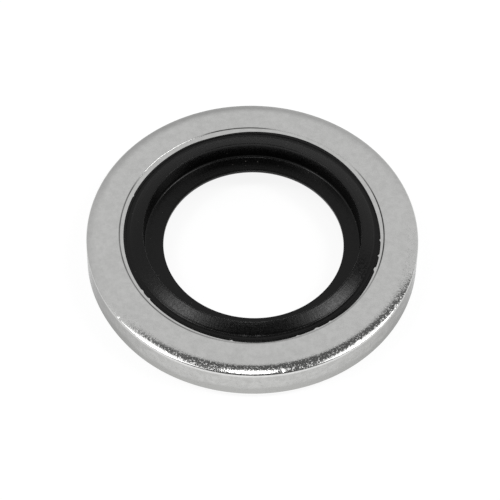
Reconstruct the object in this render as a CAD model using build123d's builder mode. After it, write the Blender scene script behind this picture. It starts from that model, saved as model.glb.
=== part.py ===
from build123d import *
import os

# Self-centring bonded sealing washer.
#
# A stamped steel ring carries a moulded rubber seal, bonded into its bore. The
# seal has a sealing bead on each face of the ring and a thin centring lip at
# half height, which grips the thread that passes through it.
#
# Millimetres. The axis of the washer is Z, and z = 0 is the plane it lies on,
# where the lower bead touches. The two sections are revolved about the axis.

# Steel ring
ring_bore_diameter = 15.8
ring_width = 2.385          # bore to outside, so the outside diameter is 20.57
ring_thickness = 2.2
rolled_edge_width = 0.75    # upper outer edge, drawn down by the blanking die
rolled_edge_depth = 0.22
burr_edge_break = 0.08      # lower outer edge
bore_edge_break = 0.1       # both edges of the bore

# Line pressed into both faces of the ring by the rim of the mould
mould_line_offset = 0.3     # bore wall to the middle of the line
mould_line_width = 0.2
mould_line_depth = 0.05

# Rubber bead, the same on both faces, measured inwards from the bond
bead_width = 1.26           # outer rim of the rubber to the crest's inner edge
bead_height = 0.35          # crest above the face of the ring
skirt_width = 0.51          # level rubber beside the ring
skirt_drop = 0.04           # below the face of the ring
crest_width = 0.14
wall_lean = 0.06            # draft of the wall below the crest

# Centring lip
lip_length = 1.04
lip_root_thickness = 0.5
lip_tip_thickness = 0.2
lip_root_radius = 0.2

# Heights
face_low = bead_height
face_high = face_low + ring_thickness
crest_high = face_high + bead_height
middle = face_low + ring_thickness / 2

# Radii
bore_radius = ring_bore_diameter / 2
outer_radius = bore_radius + ring_width
mould_line_radius = bore_radius + mould_line_offset
rubber_rim_radius = bore_radius + bore_edge_break - skirt_drop
foot_line_radius = rubber_rim_radius - skirt_width
crest_inner_radius = rubber_rim_radius - bead_width
crest_outer_radius = crest_inner_radius + crest_width
lip_root_line_radius = crest_inner_radius - wall_lean
lip_bore_radius = lip_root_line_radius - lip_length

os.makedirs("parts", exist_ok=True)

# Steel ring: one closed section, from the bore outwards and back below
with BuildPart() as metal_ring:
    with BuildSketch(Plane.XZ):
        with BuildLine():
            top = Polyline(
                (bore_radius, face_high - bore_edge_break),
                (bore_radius + bore_edge_break, face_high),
                (mould_line_radius - mould_line_width / 2, face_high),
                (mould_line_radius, face_high - mould_line_depth),
                (mould_line_radius + mould_line_width / 2, face_high),
                (outer_radius - rolled_edge_width, face_high),
            )
            rolled_edge = EllipticalCenterArc(
                (outer_radius - rolled_edge_width, face_high - rolled_edge_depth),
                rolled_edge_width,
                rolled_edge_depth,
                start_angle=0,
                arc_size=90,
            )
            Polyline(
                rolled_edge @ 0,
                (outer_radius, face_low + burr_edge_break),
                (outer_radius - burr_edge_break, face_low),
                (mould_line_radius + mould_line_width / 2, face_low),
                (mould_line_radius, face_low + mould_line_depth),
                (mould_line_radius - mould_line_width / 2, face_low),
                (bore_radius + bore_edge_break, face_low),
                (bore_radius, face_low + bore_edge_break),
                top @ 0,
            )
        make_face()
    revolve(axis=Axis.Z)

# Rubber seal: the upper half of its section, revolved and mirrored at mid height
with BuildPart() as rubber_seal:
    with BuildSketch(Plane.XZ) as seal_section:
        with BuildLine():
            Polyline(
                (bore_radius, middle),
                (bore_radius, face_high - bore_edge_break),
                (rubber_rim_radius, face_high - skirt_drop),
                (foot_line_radius, face_high - skirt_drop),
                (crest_outer_radius, crest_high),
                (crest_inner_radius, crest_high),
                (lip_root_line_radius, middle + lip_root_thickness / 2),
                (lip_bore_radius, middle + lip_tip_thickness / 2),
                (lip_bore_radius, middle),
                close=True,
            )
        make_face()
        lip_root = (lip_root_line_radius, middle + lip_root_thickness / 2)
        root_corner = seal_section.vertices().sort_by_distance(lip_root)[0]
        fillet(root_corner, lip_root_radius)
    revolve(axis=Axis.Z)
    mirror(about=Plane.XY.offset(middle))

metal_ring.part.label = "metal_ring"
export_step(metal_ring.part, "parts/metal_ring.step")

rubber_seal.part.label = "rubber_seal"
export_step(rubber_seal.part, "parts/rubber_seal.step")
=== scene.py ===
"""Looks of the self-centring bonded sealing washer.

The steel ring and the rubber seal are modelled again as finely turned rings on
the axis of the CAD frame, each from one circle carried round its section.
Sections are written in millimetres, heights from the upper face of the ring.
Bearings are in degrees round the axis, from +X towards the camera at -Y.
"""

import math

import bpy
from mathutils import Matrix, Vector


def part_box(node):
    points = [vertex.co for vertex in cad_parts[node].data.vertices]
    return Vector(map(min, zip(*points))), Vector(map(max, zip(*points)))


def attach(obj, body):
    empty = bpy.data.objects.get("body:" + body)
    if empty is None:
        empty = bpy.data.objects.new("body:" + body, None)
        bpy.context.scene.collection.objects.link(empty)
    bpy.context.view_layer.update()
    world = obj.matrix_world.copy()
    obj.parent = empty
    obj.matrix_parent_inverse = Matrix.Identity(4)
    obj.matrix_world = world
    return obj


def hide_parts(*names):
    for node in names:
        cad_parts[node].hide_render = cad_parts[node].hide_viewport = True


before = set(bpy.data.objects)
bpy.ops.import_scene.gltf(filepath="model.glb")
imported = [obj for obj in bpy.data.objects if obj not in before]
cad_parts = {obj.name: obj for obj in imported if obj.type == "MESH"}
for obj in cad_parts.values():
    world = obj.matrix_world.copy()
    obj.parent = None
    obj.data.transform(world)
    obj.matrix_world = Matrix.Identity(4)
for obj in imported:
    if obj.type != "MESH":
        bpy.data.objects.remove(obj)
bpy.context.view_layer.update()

MM = 0.001
ROUND_STEPS = 720           # corners of each turned circle
WELD_DISTANCE = 0.0001 * MM
FACE_SLACK = 0.001          # a corner this near to a face of the ring counts as on it, in millimetres

# Sizes read from the frame, in millimetres
ring_low, ring_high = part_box("metal_ring")
seal_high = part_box("rubber_seal")[1]
outer_radius = ring_high.x / MM
ring_thickness = (ring_high.z - ring_low.z) / MM
middle_height = -ring_thickness / 2
bead_height = (seal_high.z - ring_high.z) / MM


def smallest_radius(node):
    """Radius of a turned node's hole, in millimetres."""
    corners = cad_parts[node].data.vertices
    return min(math.hypot(corner.co.x, corner.co.y) for corner in corners) / MM


bore_radius = smallest_radius("metal_ring")
lip_radius = smallest_radius("rubber_seal")


# ---------------------------------------------------------------- turning


def start_circle(name, radius, height):
    """A circle about the axis, open for editing."""
    bpy.ops.object.select_all(action="DESELECT")
    place = (0, 0, ring_high.z + height * MM)
    bpy.ops.mesh.primitive_circle_add(vertices=ROUND_STEPS, radius=radius * MM, location=place)
    bpy.ops.object.transform_apply(location=True)
    piece = bpy.context.object
    piece.name = name
    piece.data.name = name
    bpy.ops.object.mode_set(mode="EDIT")
    bpy.ops.mesh.select_all(action="SELECT")
    return piece


def carry_circle(start, end):
    """Extrude the selected circle from one (radius, height) of the section to the next."""
    rise = (end[1] - start[1]) * MM
    bpy.ops.mesh.extrude_edges_move(TRANSFORM_OT_translate={"value": (0, 0, rise)})
    growth = end[0] / start[0]
    bpy.ops.transform.resize(value=(growth, growth, 1), center_override=(0, 0, 0))


def turn_section(name, section):
    """A closed ring whose section is the given run of (radius, height) points."""
    piece = start_circle(name, *section[0])
    for start, end in zip(section, section[1:]):
        carry_circle(start, end)
    bpy.ops.mesh.select_all(action="DESELECT")
    bpy.ops.mesh.select_non_manifold()
    bpy.ops.mesh.bridge_edge_loops()
    bpy.ops.mesh.select_all(action="SELECT")
    bpy.ops.mesh.remove_doubles(threshold=WELD_DISTANCE)
    bpy.ops.mesh.normals_make_consistent(inside=False)
    bpy.ops.object.mode_set(mode="OBJECT")
    return piece


def arc(centre, radii, start, end, steps):
    """Points of an elliptical arc of the section, angles in degrees from outwards to up."""
    points = []
    for step in range(steps + 1):
        angle = math.radians(start + (end - start) * step / steps)
        across = centre[0] + radii[0] * math.cos(angle)
        up = centre[1] + radii[1] * math.sin(angle)
        points.append((across, up))
    return points


def run(start, end, steps):
    """Points of a straight stretch of the section, without its two ends."""
    across = end[0] - start[0]
    up = end[1] - start[1]
    shares = [step / steps for step in range(1, steps)]
    return [(start[0] + across * share, start[1] + up * share) for share in shares]


def crowned(start, end, rise, steps):
    """Points of a stretch that stands proud by the rise at its middle, without its two ends."""
    points = []
    for step, (radius, height) in enumerate(run(start, end, steps), 1):
        crown = 4 * step * (steps - step) / steps ** 2
        points.append((radius, height + rise * crown))
    return points


def turned_over(section):
    """The same run of points on the other face of the washer, in the opposite order."""
    return [(radius, -ring_thickness - height) for radius, height in reversed(section)]


# ---------------------------------------------------------------- shaping round the axis


def bearing_of(corner):
    """Bearing of a corner, from 0 to 360 degrees."""
    return math.degrees(math.atan2(-corner.y, corner.x)) % 360


def along_bearing(bearing, distance):
    """A flat vector of the given length along a bearing."""
    angle = math.radians(bearing)
    return (distance * math.cos(angle), -distance * math.sin(angle), 0)


def degrees_between(bearing, centre):
    """The shorter way round between two bearings."""
    return abs((bearing - centre + 180) % 360 - 180)


def ease(share):
    """1 at 0, easing to 0 at 1 and beyond."""
    return 0.5 + 0.5 * math.cos(math.pi * min(share, 1))


def swell(bearing, centre, width):
    """1 at the centre bearing, easing to 0 at half the width on either side."""
    return ease(degrees_between(bearing, centre) / (width / 2))


def on_a_face(height):
    """True on the upper face of the ring and above it, and on the lower face and below it."""
    return height > -FACE_SLACK or height < FACE_SLACK - ring_thickness


def weigh(piece, group_name, amount):
    """A vertex group weighted by amount(radius, height, bearing), in the section's units."""
    group = piece.vertex_groups.new(name=group_name)
    for vertex in piece.data.vertices:
        radius = math.hypot(vertex.co.x, vertex.co.y) / MM
        height = (vertex.co.z - ring_high.z) / MM
        weight = amount(radius, height, bearing_of(vertex.co))
        if weight > 0:
            group.add([vertex.index], min(weight, 1), "REPLACE")


def select_only(piece):
    bpy.ops.object.select_all(action="DESELECT")
    piece.select_set(True)
    bpy.context.view_layer.objects.active = piece


def apply_modifier(piece, modifier):
    select_only(piece)
    bpy.ops.object.modifier_apply(modifier=modifier.name)


def shift_group(piece, group_name, axis, distance):
    """Move a weighted group by up to a distance in millimetres along X, Y or Z."""
    shift = piece.modifiers.new("shift", "DISPLACE")
    shift.direction = axis
    shift.mid_level = 0
    shift.strength = distance * MM
    shift.vertex_group = group_name
    apply_modifier(piece, shift)


def draw_group(piece, group_name, radius):
    """Draw a weighted group towards a radius in millimetres."""
    draw = piece.modifiers.new("draw", "CAST")
    draw.cast_type = "CYLINDER"
    draw.use_radius_as_size = False
    draw.size = radius * MM
    draw.factor = 1
    draw.vertex_group = group_name
    apply_modifier(piece, draw)


def smooth(piece, angle):
    """Shade a piece smooth wherever it bends by less than an angle in degrees."""
    select_only(piece)
    bpy.ops.object.shade_smooth_by_angle(angle=math.radians(angle))


# ---------------------------------------------------------------- steel ring

# Bends of the rolled upper edge, from the face out: radius, start and end angle in degrees
ROLL_BENDS = ((2.0, 0, 19), (0.42, 19, 27), (0.14, 27, 46), (0.04, 46, 90))
ROLLED_WIDTH = 0.75         # breadth of the rolled edge, in from the wall
WALL_FLARE = 0.015          # the sheared wall widens to the lower edge
BURR_BREAK = 0.06
BORE_BREAK = 0.03
BORE_FLOW = 0.05            # the pressed edge of the bore stands in over the rubber

# The blank is cut a little off the axis of its bore, so it falls short on two sides
SHORT_ON_LEFT = 0.012
SHORT_ON_FAR_SIDE = 0.045

# Lower part of the wall, painted darker: painted shade, as it mirrors the floor in the washer's shadow
LOW_WALL_SHADE_HEIGHT = 0.85          # above the lower face
LOW_WALL_SHADE_FADE = 0.35
LOW_WALL_SHADE_WAVE = 1.1             # how far its upper edge waves up and down
LOW_WALL_SHADE_WAVE_LENGTH = 2.2

# The wall's foot leans in on one stretch of the ring
UNDERCUT_DEPTH = 0.06
UNDERCUT_BEARING = 145
UNDERCUT_WIDTH = 56         # in degrees
UNDERCUT_WALL = 0.1         # corners this near to the outline count as the wall's

# Small dents in the rolled edge: bearing, distance in from the wall, reach and depth
EDGE_DENTS = (
    (79, 0.17, 0.14, 0.02),
    (50, 0.11, 0.13, 0.025),
    (141, 0.12, 0.12, 0.015),
)
DENT_LIMIT = 0.03           # depth that a full weight stands for
DENT_FLOOR = -0.5           # the dents leave the wall alone from this height down

# Line pressed into the steel by the rim of the mould, a little off the axis
MOULD_LINE_RADIUS = bore_radius + 0.25
MOULD_LINE_DEPTH = 0.02
MOULD_LINE_SHIFT = 0.11
MOULD_LINE_BEARING = 250
MOULD_LINE_INNER = 0.02     # breadth of its slopes on either side of its foot
MOULD_LINE_OUTER = 0.05
MOULD_LINE_MARGIN = 0.02    # corners this near to its section move with it

# Painted shade and left-over rubber across the mould line, darkening its colour: its middle, out from the
# line's foot, and its reach either way
SHADE_AND_RESIDUE_MIDDLE = 0.03
SHADE_AND_RESIDUE_INNER = 0.06
SHADE_AND_RESIDUE_OUTER = 0.08

# Painted shade and left-over rubber along the line, less or more than elsewhere: bearing, half width in
# degrees, share. Near bearing 66 it is painted shade beside the film's rim.
SHADE_AND_RESIDUE_STRETCHES = (
    (228, 20, 0.05),
    (66, 44, 0.4),
    (300, 22, 0),
    (358, 22, 1.3),
    (258, 14, 1.3),
)


def mould_line_section():
    """Places across the line, with a flat strip held on each side. It is pressed in afterwards."""
    offsets = (-0.04, -0.02, -0.01, 0, 0.0125, 0.025, 0.0375, 0.05, 0.07)
    return [(MOULD_LINE_RADIUS + offset, 0) for offset in offsets]


def bend_points(start, bend, steps):
    """Points of one bend of the rolled edge, turning the section from one slope to another."""
    radius, first, last = bend
    first_slope = math.radians(first)
    points = []
    for step in range(1, steps + 1):
        slope = math.radians(first + (last - first) * step / steps)
        outwards = radius * (math.sin(slope) - math.sin(first_slope))
        down = radius * (math.cos(first_slope) - math.cos(slope))
        points.append((start[0] + outwards, start[1] - down))
    return points


def rolled_edge(face_end):
    """Points from the end of the flat face over all the bends to the top of the wall."""
    points = [face_end]
    for bend in ROLL_BENDS:
        points += bend_points(points[-1], bend, steps=9)
    return points


def steel_section():
    """The ring's whole section, from its bore over the upper face and back by the lower one."""
    roll_reach = rolled_edge((0, 0))[-1][0]
    face_end = (outer_radius - WALL_FLARE - roll_reach, 0)
    bore_edge = [
        (bore_radius, -BORE_BREAK - BORE_FLOW),
        (bore_radius - BORE_FLOW, -BORE_BREAK),
        (bore_radius - BORE_FLOW + BORE_BREAK, 0),
    ]
    wall_foot = (outer_radius, -ring_thickness + BURR_BREAK)
    line = mould_line_section()
    upper = bore_edge + line + run(line[-1], face_end, steps=6) + rolled_edge(face_end)
    wall = run(upper[-1], wall_foot, steps=6) + [wall_foot]
    lower_edge = [(outer_radius - BURR_BREAK, -ring_thickness)]
    return upper + wall + lower_edge + turned_over(bore_edge + line)


def line_pressure(bearing):
    """How deep the mould line is round the ring: faint, and pressed home on the far left."""
    deepest = min(1.2 * swell(bearing, 228, 78), 0.92)
    return 0.08 + deepest + 0.2 * swell(bearing, 270, 50)


def in_mould_line(radius, height, bearing):
    """Weight of the mould line's corners: full at its foot, rounding to nothing on both sides."""
    if not on_a_face(height):
        return 0
    offset = radius - MOULD_LINE_RADIUS
    slope = MOULD_LINE_OUTER if offset > 0 else MOULD_LINE_INNER
    return line_pressure(bearing) * ease(abs(offset) / slope)


def in_upper_line(radius, height, bearing):
    """The mould line's weight on the upper face alone."""
    return in_mould_line(radius, height, bearing) if height > middle_height else 0


def in_lower_line(radius, height, bearing):
    """The mould line's weight on the lower face alone."""
    return in_mould_line(radius, height, bearing) if height < middle_height else 0


def select_corners(piece, nearest, farthest):
    """Leave only the corners between two radii selected, with the piece open for editing."""
    bpy.ops.object.mode_set(mode="EDIT")
    bpy.ops.mesh.select_all(action="DESELECT")
    bpy.ops.object.mode_set(mode="OBJECT")
    for vertex in piece.data.vertices:
        vertex.select = nearest < math.hypot(vertex.co.x, vertex.co.y) / MM < farthest
    bpy.ops.object.mode_set(mode="EDIT")


def press_mould_line(piece):
    """Press the line into both faces and carry the whole of it off the axis."""
    weigh(piece, "upper_line", in_upper_line)
    weigh(piece, "lower_line", in_lower_line)
    shift_group(piece, "upper_line", "Z", -MOULD_LINE_DEPTH)
    shift_group(piece, "lower_line", "Z", MOULD_LINE_DEPTH)
    section = mould_line_section()
    nearest = section[0][0] - MOULD_LINE_MARGIN
    farthest = section[-1][0] + MOULD_LINE_MARGIN
    select_corners(piece, nearest, farthest)
    bpy.ops.transform.translate(value=along_bearing(MOULD_LINE_BEARING, MOULD_LINE_SHIFT * MM))
    bpy.ops.object.mode_set(mode="OBJECT")


def in_dents(radius, height, bearing):
    """Weight of the dents, which is 1 at the depth of the dent limit."""
    if height < DENT_FLOOR:
        return 0
    depth = 0
    for centre, inset, reach, dent_depth in EDGE_DENTS:
        around = math.radians(degrees_between(bearing, centre)) * radius
        away = math.hypot(around, radius - outer_radius + inset)
        depth += dent_depth * ease(away / reach)
    return depth / DENT_LIMIT


def in_outline(radius):
    """0 on the face, rising over the rolled edge to 1 at the wall."""
    return max((radius - outer_radius) / ROLLED_WIDTH + 1, 0)


def on_left(radius, height, bearing):
    """Weight of the outline, 1 at the left and 0 at the right."""
    return in_outline(radius) * (0.5 - 0.5 * math.cos(math.radians(bearing)))


def on_far_side(radius, height, bearing):
    """Weight of the outline, 1 at the far side and 0 at the near one."""
    return in_outline(radius) * (0.5 - 0.5 * math.sin(math.radians(bearing)))


def in_undercut(radius, height, bearing):
    """0 at the top of the wall, curving to 1 at its foot, on one stretch of the ring."""
    if radius < outer_radius - UNDERCUT_WALL:
        return 0
    return swell(bearing, UNDERCUT_BEARING, UNDERCUT_WIDTH) * (height / ring_thickness) ** 2


def trim_outline(piece):
    """Bring the outline in on the left and on the far side, then the torn foot of the wall."""
    weigh(piece, "left", on_left)
    weigh(piece, "far", on_far_side)
    shift_group(piece, "left", "X", SHORT_ON_LEFT)
    shift_group(piece, "far", "Y", -SHORT_ON_FAR_SIDE)
    weigh(piece, "undercut", in_undercut)
    shift_group(piece, "undercut", "X", UNDERCUT_DEPTH)


def steel_ring():
    """The blanked ring, with its mould line, its dents and its slightly uneven outline."""
    piece = turn_section("steel_ring", steel_section())
    press_mould_line(piece)
    weigh(piece, "dents", in_dents)
    shift_group(piece, "dents", "Z", -DENT_LIMIT)
    trim_outline(piece)
    smooth(piece, 40)
    return piece


# ---------------------------------------------------------------- rubber seal

# Thin film of rubber on the steel: its rim is turned at one radius, then drawn out to its reach
FILM_HEIGHT = 0.008
RIM_RADIUS = bore_radius - 0.06
RIM_LIMIT = bore_radius + 0.2

# Bead, from its foot beside the steel to its narrow crest
FOOT_RADIUS = bore_radius - 0.34
FOOT_RISE = 0.038
BEAD_CROWN = 0.01           # how full the bead's slope is
CREST_OUTER = bore_radius - 1.1
CREST_INNER = bore_radius - 1.15
CREST_FALL = 0.004          # the crest's outer edge lies this far below its top
CREST_ROUND = 0.035

# Centring lip, with a straight slope from its fillet to its tip
LIP_ROOT = bore_radius - 1.19
ROOT_HEIGHT = -0.9
ROOT_FILLET = 0.13
TIP_HEIGHT = -1.0

FOOT_SHIFT = (-0.01, 0.07)  # the bead's foot lies this far off the axis, along X and Y
FOOT_SHIFT_FADE = 0.2       # the foot's shift dies out over this distance from the film's rim
LIP_SHIFT = (0.085, 0.03)   # the hole is trimmed this far off the axis

# Slivers of flash that stand up from the bead's foot: bearing and width in degrees
FOOT_SLIVERS = ((86, 7), (92.5, 5))
SLIVER_HEIGHT = 0.012
SLIVER_RADIUS = FOOT_RADIUS + 0.035
SLIVER_BREADTH = 0.02       # to either side, so that two circles of corners carry them


def skirt_section():
    """The film's rim and the shallow hollow between the steel and the bead's foot."""
    return [
        (RIM_RADIUS, 0),
        (RIM_RADIUS + 0.004, 0.5 * FILM_HEIGHT),
        (RIM_RADIUS - 0.008, FILM_HEIGHT),
        (RIM_RADIUS - 0.025, FILM_HEIGHT),
        (bore_radius - 0.11, -0.018),
        (bore_radius - 0.15, -0.026),
        (bore_radius - 0.2, -0.024),
        (bore_radius - 0.24, -0.02),
        (FOOT_RADIUS + 0.05, -0.01),
        (FOOT_RADIUS + 0.02, -0.004),
        (FOOT_RADIUS - 0.01, 0.014),
        (FOOT_RADIUS - 0.045, FOOT_RISE),
    ]


def crest_section():
    """The bead's narrow top, rounded over on its inner side."""
    middle = (CREST_INNER + CREST_ROUND, bead_height - CREST_ROUND)
    rounding = arc(middle, (CREST_ROUND, CREST_ROUND), 90, 180, steps=6)
    return [(CREST_OUTER, bead_height - CREST_FALL)] + rounding


def lip_section():
    """From the fillet at the lip's root along its sloping top to its trimmed tip."""
    slope = math.degrees(math.atan2(ROOT_HEIGHT - TIP_HEIGHT, LIP_ROOT - lip_radius))
    middle = (LIP_ROOT - ROOT_FILLET, ROOT_HEIGHT + ROOT_FILLET)
    root = arc(middle, (ROOT_FILLET, ROOT_FILLET), 0, -90 + slope, steps=8)
    tip = [
        (lip_radius + 0.03, TIP_HEIGHT),
        (lip_radius + 0.008, TIP_HEIGHT - 0.008),
        (lip_radius, TIP_HEIGHT - 0.03),
    ]
    return root + run(root[-1], tip[0], steps=8) + tip


def bead_section():
    """Upper half of the seal, from the bond over the bead to the tip of the lip."""
    bond = (bore_radius, -0.1)
    skirt = skirt_section()
    crest = crest_section()
    lip = lip_section()
    slope = crowned(skirt[-1], crest[0], BEAD_CROWN, steps=10)
    wall = run(crest[-1], lip[0], steps=6)
    return [bond] + skirt + slope + crest + wall + lip


# Nicks in the rubber's thin rim: bearing, width in degrees and depth in millimetres
RIM_NICKS = (
    (2, 1.8, 0.09),
    (10.5, 1.6, 0.12),
    (18, 3.2, 0.13),
    (53, 2, 0.05),
    (60, 3, 0.06),
    (69, 2, 0.05),
    (98, 2, 0.07),
    (141, 2, 0.07),
    (146, 3, 0.05),
    (200, 2, 0.05),
)

# Where the rim runs out further or less far: bearing, width in degrees and distance
RIM_RUN = 0.13
RIM_SWELLS = (
    (40, 40, 0.06),
    (85, 55, 0.06),
    (225, 60, -0.03),
    (252, 34, -0.06),
    (291, 60, 0.05),
    (342, 70, -0.095),
)


def rim_reach(bearing):
    """How far the rubber's thin rim is drawn out over the steel, in millimetres."""
    reach = RIM_RUN
    for centre, width, distance in RIM_SWELLS:
        reach += distance * swell(bearing, centre, width)
    for centre, width, depth in RIM_NICKS:
        reach -= depth * swell(bearing, centre, width)
    return reach


def in_rim(radius, height, bearing):
    """Weight that draws the film's rim out to its reach, and leaves the film behind it alone."""
    innermost = RIM_RADIUS - 0.01
    if not on_a_face(height) or radius < innermost:
        return 0
    return rim_reach(bearing) / (RIM_LIMIT - RIM_RADIUS)


def on_lip(radius, height, bearing):
    """0 at the lip's root, 1 at its tip."""
    lip_start = LIP_ROOT - ROOT_FILLET
    return max((lip_start - radius) / (lip_start - lip_radius), 0)


def at_foot(radius, height, bearing):
    """1 at the bead's foot, falling to 0 at its crest and under the rim."""
    from_crest = (radius - CREST_OUTER) / (FOOT_RADIUS - CREST_OUTER)
    from_rim = (RIM_RADIUS - radius) / FOOT_SHIFT_FADE
    return max(min(from_crest, from_rim, 1), 0)


def on_sliver(radius, height, bearing):
    """Weight of the corners that carry the slivers, on the upper side alone."""
    if height < middle_height or abs(radius - SLIVER_RADIUS) > SLIVER_BREADTH:
        return 0
    return sum(swell(bearing, centre, width) for centre, width in FOOT_SLIVERS)


def rubber_seal():
    """The moulded seal. Its bead's foot and its lip lie a little off the axis."""
    upper = bead_section()
    piece = turn_section("rubber_seal_body", upper + turned_over(upper))
    weigh(piece, "rim", in_rim)
    weigh(piece, "foot", at_foot)
    weigh(piece, "lip", on_lip)
    weigh(piece, "slivers", on_sliver)
    draw_group(piece, "rim", RIM_LIMIT)
    shift_group(piece, "slivers", "Z", SLIVER_HEIGHT)
    for group, shift in (("foot", FOOT_SHIFT), ("lip", LIP_SHIFT)):
        shift_group(piece, group, "X", shift[0])
        shift_group(piece, group, "Y", shift[1])
    smooth(piece, 35)
    return piece


# ---------------------------------------------------------------- material nodes


def new_material(name):
    """A new material's nodes, its shader and the material itself."""
    material = bpy.data.materials.new(name)
    material.use_nodes = True
    return material.node_tree, material.node_tree.nodes["Principled BSDF"], material


def add_node(tree, kind, links=None, values=None, **settings):
    """A node with its settings, its linked inputs and its plain inputs."""
    made = tree.nodes.new(kind)
    for key, value in settings.items():
        setattr(made, key, value)
    for key, socket in (links or {}).items():
        tree.links.new(socket, made.inputs[key])
    for key, value in (values or {}).items():
        made.inputs[key].default_value = value
    return made


def as_inputs(*items):
    """Split a node's inputs, in their order, into links for sockets and plain values."""
    links = {}
    values = {}
    for index, item in enumerate(items):
        group = links if isinstance(item, bpy.types.NodeSocket) else values
        group[index] = item
    return links, values


def maths(tree, operation, *items):
    """One step of arithmetic on numbers, each a socket or a plain value."""
    links, values = as_inputs(*items)
    return add_node(tree, "ShaderNodeMath", links, values, operation=operation).outputs[0]


def vector_maths(tree, operation, *items):
    """One step of arithmetic on vectors. A length and a dot product come out as a number."""
    links, values = as_inputs(*items)
    outputs = add_node(tree, "ShaderNodeVectorMath", links, values, operation=operation).outputs
    return outputs["Value" if operation in ("LENGTH", "DOT_PRODUCT") else "Vector"]


def polar_coordinates(tree):
    """Sockets for the place, the direction from the axis, the radius and the height."""
    place = add_node(tree, "ShaderNodeTexCoord").outputs["Object"]
    flat = vector_maths(tree, "MULTIPLY", place, (1, 1, 0))
    direction = vector_maths(tree, "NORMALIZE", flat)
    radius = vector_maths(tree, "LENGTH", flat)
    height = add_node(tree, "ShaderNodeSeparateXYZ", {0: place}).outputs["Z"]
    return place, direction, radius, height


def noise(tree, place, size, detail=2.0, roughness=0.5):
    """Noise whose spots are about the given size across, in the units of the place."""
    made = add_node(
        tree, "ShaderNodeTexNoise", {"Vector": place},
        {"Scale": 1 / size, "Detail": detail, "Roughness": roughness},
    )
    return made.outputs["Fac"]


def streaks(tree, direction, along, width, length):
    """Noise drawn out along one socket, narrow round the axis. Width in radians."""
    spread = vector_maths(tree, "MULTIPLY", direction, (1 / width, 1 / width, 0))
    stretched = multiply(tree, along, 1 / length)
    lengthwise = add_node(tree, "ShaderNodeCombineXYZ", {"Z": stretched}).outputs[0]
    return noise(tree, vector_maths(tree, "ADD", spread, lengthwise), 1.0)


def fade(tree, socket, start, end, low=0.0, high=1.0):
    """Low up to start, high from end on, smooth between."""
    made = add_node(
        tree, "ShaderNodeMapRange", {"Value": socket},
        {"From Min": start, "From Max": end, "To Min": low, "To Max": high},
        interpolation_type="SMOOTHSTEP",
    )
    return made.outputs["Result"]


def multiply(tree, first, second):
    return maths(tree, "MULTIPLY", first, second)


def centred(tree, socket):
    """The same noise about zero."""
    return maths(tree, "SUBTRACT", socket, 0.5)


def bump(tree, height, distance, below=None):
    """Relief of a distance in metres, laid over any relief below it."""
    links = {"Height": height}
    if below:
        links["Normal"] = below
    return add_node(tree, "ShaderNodeBump", links, {"Distance": distance}).outputs["Normal"]


def blend_colours(tree, share, first, second):
    """One colour at 0 and another at 1. Either may be a socket."""
    made = add_node(tree, "ShaderNodeMix", {"Factor": share}, data_type="RGBA")
    for socket, colour in ((made.inputs[6], first), (made.inputs[7], second)):
        if isinstance(colour, bpy.types.NodeSocket):
            tree.links.new(colour, socket)
        else:
            socket.default_value = (*colour, 1)
    return made.outputs[2]


def towards_bearing(tree, direction, bearing, core, edge, away=0.0, near=1.0):
    """Near within the core angle of a bearing, away beyond the edge angle, in degrees."""
    nearness = vector_maths(tree, "DOT_PRODUCT", direction, along_bearing(bearing, 1))
    edge_cosine = math.cos(math.radians(edge))
    core_cosine = math.cos(math.radians(core))
    return fade(tree, nearness, edge_cosine, core_cosine, away, near)


# ---------------------------------------------------------------- zinc plated steel

# Colours of the plating, each from its darker spots to its lighter ones
FACE_GREYS = ((0.72, 0.72, 0.71), (0.8, 0.8, 0.79))
# The wall's greys are darker partly as painted shade of the dimmer floor it mirrors, partly as a duller
# sheared surface
WALL_GREYS_WITH_SHADE = ((0.49, 0.49, 0.48), (0.58, 0.58, 0.57))
# Painted shade on the wall's lower part
LOW_WALL_SHADE_GREY = (0.46, 0.46, 0.45)
# Black of the painted shade and left-over rubber in the mould line
SHADE_AND_RESIDUE_BLACK = (0.03, 0.03, 0.03)
EDGE_TINT = (0.56, 0.56, 0.56, 1)   # what the steel mirrors at a glancing angle
SPOT_SPREAD = (0.3, 0.7)            # noise values between which the spots fade
SPOT_ROUGHNESS = (0.14, 0.10)
LINE_ROUGHNESS = 0.24               # added in the mould line
SCUFF_ROUGHNESS = 0.26              # added where the rolled edge is scuffed

# The rolled edge is scuffed on its near side: bearing, and degrees to either side
SCUFF_BEARING = 66
SCUFF_CORE = 64
SCUFF_EDGE = 78
SCUFF_ELSEWHERE = 0.25              # share of the scuffs on the rest of the edge


def mould_line_mask(tree, place):
    """1 in the middle of the mould line, fading to 0 on both sides."""
    centre = along_bearing(MOULD_LINE_BEARING, MOULD_LINE_SHIFT * MM)
    moved = vector_maths(tree, "SUBTRACT", place, centre)
    reach = vector_maths(tree, "LENGTH", vector_maths(tree, "MULTIPLY", moved, (1, 1, 0)))
    middle = (MOULD_LINE_RADIUS + SHADE_AND_RESIDUE_MIDDLE) * MM
    inner = fade(tree, reach, middle - SHADE_AND_RESIDUE_INNER * MM, middle)
    outer = fade(tree, reach, middle, middle + SHADE_AND_RESIDUE_OUTER * MM, 1, 0)
    return multiply(tree, inner, outer)


def line_shade_and_residue(tree, place, direction, mask):
    """How dark the painted shade and left-over rubber in the mould line are. Patchy, and lighter or darker
    by stretches.
    """
    patches = fade(tree, noise(tree, place, 2.5 * MM, detail=3.0), 0.3, 0.6, 0.7, 0.9)
    shade_and_residue = multiply(tree, mask, patches)
    for stretch, half_width, share in SHADE_AND_RESIDUE_STRETCHES:
        near = towards_bearing(tree, direction, stretch, half_width * 0.7, half_width * 1.3, 1, share)
        shade_and_residue = multiply(tree, shade_and_residue, near)
    return shade_and_residue


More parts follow.
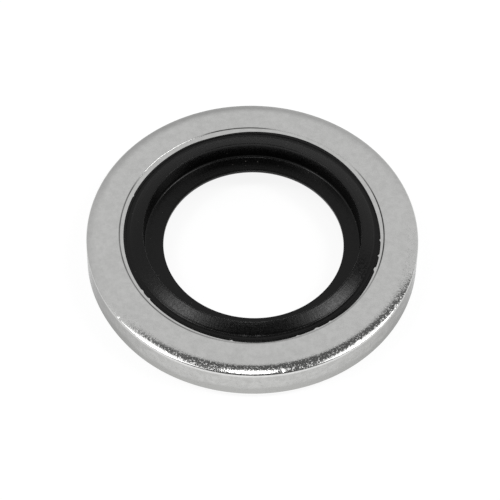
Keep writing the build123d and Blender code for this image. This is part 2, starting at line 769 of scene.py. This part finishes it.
def low_wall_shade(tree, place, height):
    """1 on the lower part of the wall that gets painted shade, with a wavy upper edge."""
    wave = centred(tree, noise(tree, place, LOW_WALL_SHADE_WAVE_LENGTH * MM, detail=4.0))
    wavy = maths(tree, "MULTIPLY_ADD", wave, LOW_WALL_SHADE_WAVE * MM, height)
    top = ring_low.z + LOW_WALL_SHADE_HEIGHT * MM
    return fade(tree, wavy, top, top - LOW_WALL_SHADE_FADE * MM)


def plating_colour(tree, place, height, mottle, on_wall):
    """Bright mottled faces, and a darker wall: a duller sheared surface with painted shade from the floor
    it mirrors, and more painted shade on its lower part.
    """
    spots = fade(tree, mottle, *SPOT_SPREAD)
    face = blend_colours(tree, spots, *FACE_GREYS)
    # Wall greys, darker partly as painted shade
    wall = blend_colours(tree, spots, *WALL_GREYS_WITH_SHADE)
    # Painted shade on the lower part of the wall
    wall_with_low_shade = blend_colours(tree, low_wall_shade(tree, place, height), wall, LOW_WALL_SHADE_GREY)
    return blend_colours(tree, on_wall, face, wall_with_low_shade)


def plating_roughness(tree, place, mottle, line, scuffed):
    """Spotted sheen, rougher in the mould line and on the scuffed edge."""
    scuffs = fade(tree, noise(tree, place, 0.12 * MM, detail=1.5), 0.5, 0.7, 0, SCUFF_ROUGHNESS)
    sheen = fade(tree, mottle, *SPOT_SPREAD, *SPOT_ROUGHNESS)
    dulled = maths(tree, "ADD", multiply(tree, scuffs, scuffed), sheen)
    return maths(tree, "ADD", dulled, multiply(tree, line, LINE_ROUGHNESS))


def plating_relief(tree, coordinates, line, scuffed, on_wall):
    """Fine grain outside the mould line, drag marks on the scuffed edge and streaks down the wall."""
    place, direction, radius, height = coordinates
    grains = centred(tree, noise(tree, place, 0.12 * MM, detail=3.0))
    off_line = fade(tree, line, 0, 0.6, 1, 0)
    grain = bump(tree, multiply(tree, grains, off_line), 0.0012 * MM)
    edge_streaks = centred(tree, streaks(tree, direction, radius, 0.01, 0.13 * MM))
    rolled = bump(tree, multiply(tree, edge_streaks, scuffed), 0.004 * MM, grain)
    wall_streaks = centred(tree, streaks(tree, direction, height, 0.012, 1.5 * MM))
    return bump(tree, multiply(tree, wall_streaks, on_wall), 0.014 * MM, rolled)


def zinc_plated_steel():
    """Bright mottled plating, with painted shade and left-over rubber in the mould line, and wear on the
    rolled edge.
    """
    tree, shader, material = new_material("zinc_plated_steel")
    coordinates = polar_coordinates(tree)
    place, direction, radius, height = coordinates
    mottle = noise(tree, place, 0.4 * MM, detail=4.0, roughness=0.7)
    roll_start = (outer_radius - ROLLED_WIDTH) * MM
    on_roll = fade(tree, radius, roll_start - 0.1 * MM, roll_start + 0.1 * MM)
    on_wall = fade(tree, height, ring_high.z - 0.25 * MM, ring_high.z - 0.4 * MM)
    near_side = towards_bearing(tree, direction, SCUFF_BEARING, SCUFF_CORE, SCUFF_EDGE, SCUFF_ELSEWHERE)
    scuffed = multiply(tree, on_roll, near_side)
    line = mould_line_mask(tree, place)
    shade_and_residue = line_shade_and_residue(tree, place, direction, line)
    zinc = plating_colour(tree, place, height, mottle, on_wall)
    # Painted shade in the mould line's groove, with some left-over rubber
    colour = blend_colours(tree, shade_and_residue, zinc, SHADE_AND_RESIDUE_BLACK)
    roughness = plating_roughness(tree, place, mottle, line, scuffed)
    relief = plating_relief(tree, coordinates, line, scuffed, on_wall)
    tree.links.new(colour, shader.inputs["Base Color"])
    tree.links.new(roughness, shader.inputs["Roughness"])
    tree.links.new(relief, shader.inputs["Normal"])
    shader.inputs["Metallic"].default_value = 1
    shader.inputs["Specular Tint"].default_value = EDGE_TINT
    return material


# ---------------------------------------------------------------- black rubber

RUBBER_BLACKS = ((0.0005, 0.0005, 0.0006), (0.0018, 0.0017, 0.0016))
DUST_GREY = (0.16, 0.15, 0.14)
DUST_SHARE = 0.5
RUBBER_GLOSS = 0.3
LIP_GRAIN = 0.3             # the trimmed lip has this share of the bead's grain


def rubber_colour(tree, place):
    """Cloudy black with a few specks of dust."""
    cloud = noise(tree, place, 1.2 * MM, detail=3.0)
    black = blend_colours(tree, cloud, *RUBBER_BLACKS)
    dust = fade(tree, noise(tree, place, 0.16 * MM, detail=1.0), 0.77, 0.8)
    return blend_colours(tree, multiply(tree, dust, DUST_SHARE), black, DUST_GREY)


def rubber_relief(tree, place, direction, radius):
    """Moulded grain, marks dragged outwards by the mould and fine turned rings."""
    grains = centred(tree, noise(tree, place, 0.06 * MM))
    on_bead = fade(tree, radius, (LIP_ROOT - 0.1) * MM, (LIP_ROOT + 0.1) * MM, LIP_GRAIN, 1)
    grain = bump(tree, multiply(tree, grains, on_bead), 0.004 * MM)
    drag = centred(tree, streaks(tree, direction, radius, 0.02, 1.2 * MM))
    dragged = bump(tree, drag, 0.004 * MM, grain)
    rings = centred(tree, streaks(tree, direction, radius, 0.3, 0.07 * MM))
    return bump(tree, rings, 0.006 * MM, dragged)


def black_rubber():
    """Glossy black rubber, as it leaves the mould."""
    tree, shader, material = new_material("black_rubber")
    place, direction, radius, _ = polar_coordinates(tree)
    roughness = fade(tree, noise(tree, place, 0.14 * MM), 0.3, 0.7, 0.2, 0.3)
    tree.links.new(rubber_colour(tree, place), shader.inputs["Base Color"])
    tree.links.new(roughness, shader.inputs["Roughness"])
    tree.links.new(rubber_relief(tree, place, direction, radius), shader.inputs["Normal"])
    shader.inputs["Specular IOR Level"].default_value = RUBBER_GLOSS
    return material


# ---------------------------------------------------------------- studio

VIEW_DISTANCE = 155.6 * MM
VIEW_ELEVATION = 54.54      # degrees above the face
VIEW_ROLL = 1.23            # degrees
LENS = 181.2
SENSOR_WIDTH = 36
VIEW_SHIFT = (-0.0047, -0.0324)


def place_camera():
    """A camera in front of the washer, aimed at the middle of its upper face."""
    camera_data = bpy.data.cameras.new("camera")
    camera_data.lens = LENS
    camera_data.sensor_width = SENSOR_WIDTH
    camera_data.shift_x, camera_data.shift_y = VIEW_SHIFT
    camera_data.clip_start = 0.01
    camera = bpy.data.objects.new("camera", camera_data)
    bpy.context.scene.collection.objects.link(camera)
    elevation = math.radians(VIEW_ELEVATION)
    towards = Vector((0, -math.cos(elevation), math.sin(elevation)))
    place = Vector((0, 0, ring_high.z)) + towards * VIEW_DISTANCE
    tilt = Matrix.Rotation(math.pi / 2 - elevation, 4, "X")
    roll = Matrix.Rotation(math.radians(VIEW_ROLL), 4, "Z")
    camera.matrix_world = Matrix.Translation(place) @ tilt @ roll
    bpy.context.scene.camera = camera


def seen_and_mirrored(tree):
    """1 for rays from the camera, a mirror or glass, otherwise 0."""
    path = add_node(tree, "ShaderNodeLightPath").outputs
    either = maths(tree, "MAXIMUM", path["Is Camera Ray"], path["Is Glossy Ray"])
    return maths(tree, "MAXIMUM", either, path["Is Transmission Ray"])


FLOOR_SIZE = 4
FLOOR_LIFT = 0.88           # glow that shows the floor white
FLOOR_GREY = (0.2, 0.2, 0.2, 1)


def lay_floor():
    """A level floor that looks white but throws little light back at the washer."""
    bpy.ops.object.select_all(action="DESELECT")
    bpy.ops.mesh.primitive_plane_add(size=FLOOR_SIZE, location=(0, 0, 0))
    floor = bpy.context.object
    floor.name = "floor"
    tree, shader, material = new_material("white_floor")
    shader.inputs["Base Color"].default_value = FLOOR_GREY
    shader.inputs["Roughness"].default_value = 1
    shader.inputs["Specular IOR Level"].default_value = 0
    shader.inputs["Emission Color"].default_value = (1, 1, 1, 1)
    tree.links.new(multiply(tree, seen_and_mirrored(tree), FLOOR_LIFT), shader.inputs["Emission Strength"])
    floor.data.materials.append(material)


LAMP_HEIGHT = 0.6
FULL_RADIANCE = 5.4         # of the bright core
EDGE_RADIANCE = 1.8         # of the soft box round it
CORE_SHARE = 0.55           # size of the core against the whole lamp
CORE_DROP = 0.002           # the core hangs this far below the soft box


def hang_light(name, shape, place, size, turn, radiance):
    """A level light facing down, turned by some degrees."""
    light_data = bpy.data.lights.new(name, "AREA")
    light_data.shape = shape
    light_data.size, light_data.size_y = size
    area = size[0] * size[1] * (math.pi / 4 if shape == "ELLIPSE" else 1)
    light_data.energy = radiance * math.pi * area
    light = bpy.data.objects.new(name, light_data)
    light.location = place
    light.rotation_euler.z = math.radians(turn)
    bpy.context.scene.collection.objects.link(light)


def hang_lamp(name, shape, centre, size, turn):
    """A soft box over the washer, brighter in its middle."""
    hang_light(name, shape, (*centre, LAMP_HEIGHT), size, turn, EDGE_RADIANCE)
    core = (size[0] * CORE_SHARE, size[1] * CORE_SHARE)
    place = (*centre, LAMP_HEIGHT - CORE_DROP)
    hang_light(name + "_core", "ELLIPSE", place, core, turn, FULL_RADIANCE)


def light_studio():
    """A small soft box overhead and a large one on either side."""
    hang_lamp("middle_lamp", "ELLIPSE", (0.003, -0.022), (0.11, 0.16), 0)
    hang_lamp("right_lamp", "ELLIPSE", (0.485, -0.03), (0.58, 0.4), 0)
    hang_lamp("left_lamp", "RECTANGLE", (-0.35, -0.078), (0.38, 0.27), 14)


# Ceiling, by where a direction of length 1 points: an ellipse cut straight on its far side
CEILING_CENTRE = (0.45, -0.3, 0)
CEILING_RADII = (1.04, 0.82)
CEILING_FAR_EDGE = (0.2, 2.2, 0)    # its product with a direction is 1 on the straight edge
CEILING_DARKNESS = 0.15             # the ceiling's light against the walls'
FAR_LEFT = (-0.7, 0.7, 0)
SURROUND_GREY = 0.62


def ceiling_light(tree, direction, up):
    """Dark overhead, and 1 outside the ceiling's edge."""
    from_centre = vector_maths(tree, "SUBTRACT", direction, CEILING_CENTRE)
    shape = (1 / CEILING_RADII[0], 1 / CEILING_RADII[1], 0)
    round_reach = vector_maths(tree, "LENGTH", vector_maths(tree, "MULTIPLY", from_centre, shape))
    far_reach = vector_maths(tree, "DOT_PRODUCT", direction, CEILING_FAR_EDGE)
    low_reach = fade(tree, up, 0.5, 0.6, 1.1, 0)
    reach = maths(tree, "MAXIMUM", maths(tree, "MAXIMUM", round_reach, far_reach), low_reach)
    return fade(tree, reach, 0.97, 1.03, CEILING_DARKNESS, 1)


def wall_light(tree, direction, back, up):
    """Pale walls, brightest above the horizon and dimmer on the far side and far left."""
    far_side = fade(tree, back, 0.6, 1.1, 1, 0.6)
    far_left = fade(tree, vector_maths(tree, "DOT_PRODUCT", direction, FAR_LEFT), 0.5, 0.8, 1, 0.86)
    horizon = fade(tree, up, -0.05, 0.1, 0.15, 1)
    low_glow = fade(tree, up, 0.15, 0.45, 1.35, 1)
    sides = multiply(tree, far_side, far_left)
    return multiply(tree, multiply(tree, sides, low_glow), multiply(tree, horizon, SURROUND_GREY))


def paint_surround():
    """Pale walls all round under a darker ceiling."""
    world = bpy.data.worlds.new("surround")
    bpy.context.scene.world = world
    world.use_nodes = True
    tree = world.node_tree
    background = tree.nodes["Background"]
    direction = add_node(tree, "ShaderNodeTexCoord").outputs["Generated"]
    parts = add_node(tree, "ShaderNodeSeparateXYZ", {0: direction}).outputs
    walls = wall_light(tree, direction, parts["Y"], parts["Z"])
    light = multiply(tree, ceiling_light(tree, direction, parts["Z"]), walls)
    tree.links.new(light, background.inputs["Strength"])
    background.inputs["Color"].default_value = (1, 1, 1, 1)


# ---------------------------------------------------------------- put together


def finish_piece(piece, material, node):
    """Give a piece its material, and let it stand for its CAD node."""
    piece.data.materials.clear()
    piece.data.materials.append(material)
    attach(piece, "root")
    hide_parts(node)


place_camera()
lay_floor()
light_studio()
paint_surround()
finish_piece(steel_ring(), zinc_plated_steel(), "metal_ring")
finish_piece(rubber_seal(), black_rubber(), "rubber_seal")
bpy.context.scene.view_settings.view_transform = "Standard"
